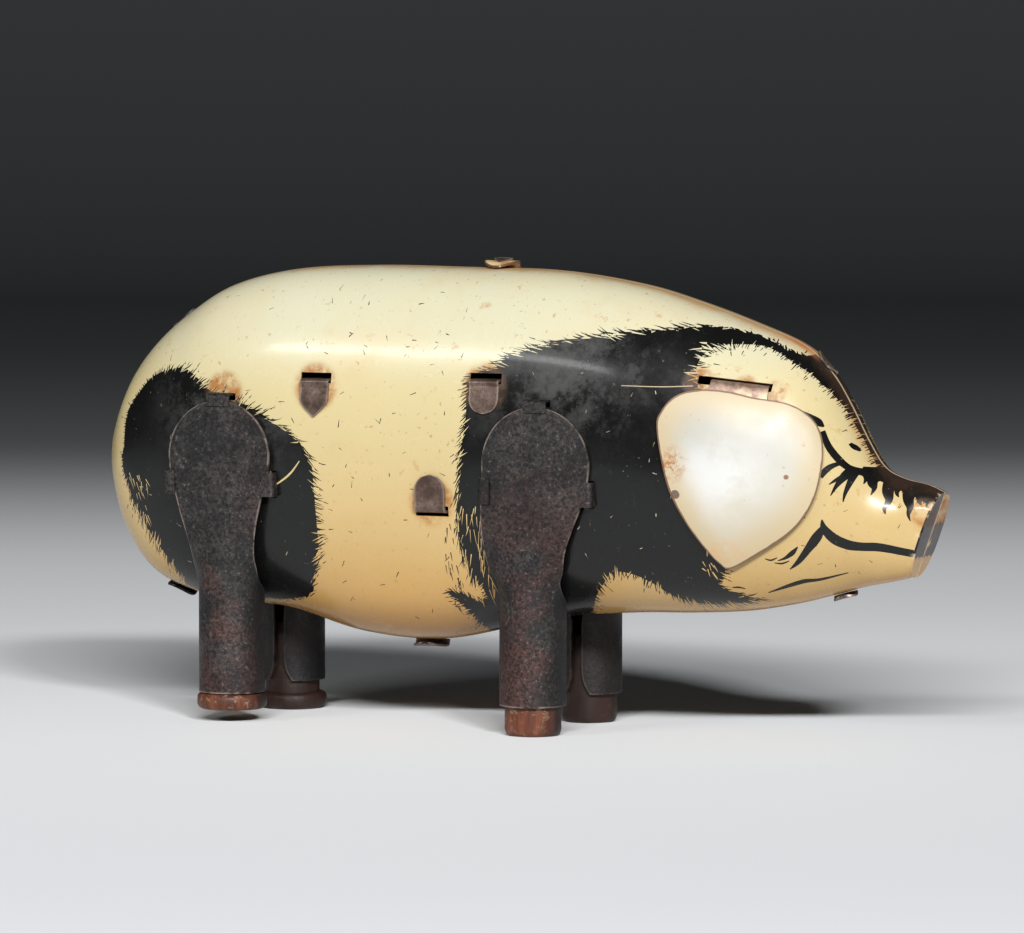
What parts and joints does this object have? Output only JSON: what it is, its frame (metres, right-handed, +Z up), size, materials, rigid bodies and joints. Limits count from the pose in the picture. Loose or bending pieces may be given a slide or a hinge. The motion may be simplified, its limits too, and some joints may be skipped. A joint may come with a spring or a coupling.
{
  "type": "clockwork walking tin pig",
  "caption": "Hollow two-part tinplate pig with rolled steel legs, sliding wooden feet, loose leaf ears and a key-wound motor inside.",
  "frame": {"origin": "on the floor under the middle of the whole model; the body's seam plane is at Y = -6.25 mm, because the winding key stands out on the left", "axes": "+X towards the nose, +Y to the pig's left, +Z up"},
  "size_m": [0.2, 0.0596, 0.104],
  "materials": {
    "printed_tin": "glossy lithographed cream with black patches, aged",
    "ear_tin": "glossy off-white print with rusty edges",
    "leg_steel": "dark browned sheet with rust",
    "mechanism_steel": "dull aged steel",
    "wheel_brass": "tarnished",
    "foot_wood": "stained red-brown, worn"
  },
  "bodies": {
    "body": {"right_body_shell": "printed_tin", "left_body_shell": "printed_tin", "right_front_leg": "leg_steel", "right_rear_leg": "leg_steel", "left_front_leg": "leg_steel", "left_rear_leg": "leg_steel", "motor_plate_right": "mechanism_steel", "motor_plate_left": "mechanism_steel", "motor_pillar_rear_lower": "mechanism_steel", "motor_pillar_rear_upper": "mechanism_steel", "motor_pillar_front_lower": "mechanism_steel", "motor_pillar_front_upper": "mechanism_steel", "mainspring": "mechanism_steel", "right_front_rocker_stud": "mechanism_steel", "right_rear_rocker_stud": "mechanism_steel", "left_front_rocker_stud": "mechanism_steel", "left_rear_rocker_stud": "mechanism_steel", "seam_tab_rump": "printed_tin", "seam_tab_back": "printed_tin", "seam_tab_forehead": "printed_tin", "seam_tab_tail": "printed_tin", "seam_tab_belly": "printed_tin", "seam_tab_chin": "printed_tin"},
    "winding": {"winding_arbor": "mechanism_steel", "ratchet_wheel": "wheel_brass", "winding_key": "mechanism_steel"},
    "great_wheel": {"great_wheel": "wheel_brass", "click_stud": "mechanism_steel", "click_spring": "wheel_brass"},
    "click": {"click": "mechanism_steel"},
    "second_arbor": {"second_arbor": "mechanism_steel", "second_wheel": "wheel_brass"},
    "camshaft": {"camshaft": "mechanism_steel", "cam_wheel": "wheel_brass", "right_cam": "mechanism_steel", "left_cam": "mechanism_steel"},
    "governor": {"governor_arbor": "mechanism_steel", "governor_fly": "wheel_brass"},
    "right_ear": {"right_ear": "ear_tin"},
    "left_ear": {"left_ear": "ear_tin"},
    "right_front_rocker": {"right_front_rocker": "mechanism_steel"},
    "right_front_foot": {"right_front_foot": "foot_wood", "right_front_foot_stem": "mechanism_steel"},
    "right_rear_rocker": {"right_rear_rocker": "mechanism_steel"},
    "right_rear_foot": {"right_rear_foot": "foot_wood", "right_rear_foot_stem": "mechanism_steel"},
    "left_front_rocker": {"left_front_rocker": "mechanism_steel"},
    "left_front_foot": {"left_front_foot": "foot_wood", "left_front_foot_stem": "mechanism_steel"},
    "left_rear_rocker": {"left_rear_rocker": "mechanism_steel"},
    "left_rear_foot": {"left_rear_foot": "foot_wood", "left_rear_foot_stem": "mechanism_steel"}
  },
  "joints": [
    {"name": "great_wheel_spin", "type": "hinge", "parent": "body", "child": "great_wheel", "pos_m": [-0.006, 0.00075, 0.066], "axis": [0, 1, 0], "continuous": true},
    {"name": "winding_key_turn", "type": "hinge", "parent": "body", "child": "winding", "pos_m": [-0.006, 0.02375, 0.066], "axis": [0, 1, 0], "continuous": true},
    {"name": "click_rock", "type": "hinge", "parent": "great_wheel", "child": "click", "pos_m": [0.003, -0.00105, 0.0628], "axis": [0, 1, 0], "range_deg": [0, 12], "stiffness_Nm_per_rad": 0.002},
    {"name": "second_arbor_spin", "type": "hinge", "parent": "body", "child": "second_arbor", "pos_m": [-0.02347, -0.00625, 0.06772], "axis": [0, 1, 0], "continuous": true},
    {"name": "camshaft_spin", "type": "hinge", "parent": "body", "child": "camshaft", "pos_m": [-0.027, -0.00625, 0.055], "axis": [0, 1, 0], "continuous": true},
    {"name": "governor_spin", "type": "hinge", "parent": "body", "child": "governor", "pos_m": [-0.03776, -0.00625, 0.05271], "axis": [0, 1, 0], "continuous": true},
    {"name": "right_front_rocker", "type": "hinge", "parent": "body", "child": "right_front_rocker", "pos_m": [-0.0201, -0.01905, 0.0445], "axis": [0, -1, 0], "range_deg": [0, 5.14]},
    {"name": "right_front_foot_slide", "type": "slide", "parent": "body", "child": "right_front_foot", "axis": [0, 0, 1], "range_m": [0, 0.00271]},
    {"name": "right_rear_rocker", "type": "hinge", "parent": "body", "child": "right_rear_rocker", "pos_m": [-0.0339, -0.01905, 0.0445], "axis": [0, 1, 0], "range_deg": [-5.17, 0]},
    {"name": "right_rear_foot_slide", "type": "slide", "parent": "body", "child": "right_rear_foot", "axis": [0, 0, 1], "range_m": [-0.00271, 0]},
    {"name": "left_front_rocker", "type": "hinge", "parent": "body", "child": "left_front_rocker", "pos_m": [-0.0201, 0.00655, 0.0445], "axis": [0, -1, 0], "range_deg": [0, 5.14]},
    {"name": "left_front_foot_slide", "type": "slide", "parent": "body", "child": "left_front_foot", "axis": [0, 0, 1], "range_m": [0, 0.00271]},
    {"name": "left_rear_rocker", "type": "hinge", "parent": "body", "child": "left_rear_rocker", "pos_m": [-0.0339, 0.00655, 0.0445], "axis": [0, 1, 0], "range_deg": [0, 5.17]},
    {"name": "left_rear_foot_slide", "type": "slide", "parent": "body", "child": "left_rear_foot", "axis": [0, 0, 1], "range_m": [0, 0.00271]},
    {"name": "right_ear_flap", "type": "hinge", "parent": "body", "child": "right_ear", "pos_m": [0.05769, -0.02181, 0.07835], "axis": [-0.9638, -0.2455, 0.1044], "range_deg": [0, 22]},
    {"name": "left_ear_flap", "type": "hinge", "parent": "body", "child": "left_ear", "pos_m": [0.05769, 0.00931, 0.07835], "axis": [0.9638, -0.2455, -0.1044], "range_deg": [0, 22]}
  ],
  "couplings": [
    {"joint": "second_arbor_spin", "follows": "great_wheel_spin", "ratio": -4.4},
    {"joint": "camshaft_spin", "follows": "great_wheel_spin", "ratio": 16.72},
    {"joint": "governor_spin", "follows": "great_wheel_spin", "ratio": -66.88},
    {"joint": "right_front_foot_slide", "follows": "right_front_rocker", "m_per_rad": 0.0301},
    {"joint": "right_rear_foot_slide", "follows": "right_rear_rocker", "m_per_rad": 0.0299},
    {"joint": "left_front_foot_slide", "follows": "left_front_rocker", "m_per_rad": 0.0301},
    {"joint": "left_rear_foot_slide", "follows": "left_rear_rocker", "m_per_rad": 0.0299}
  ]
}
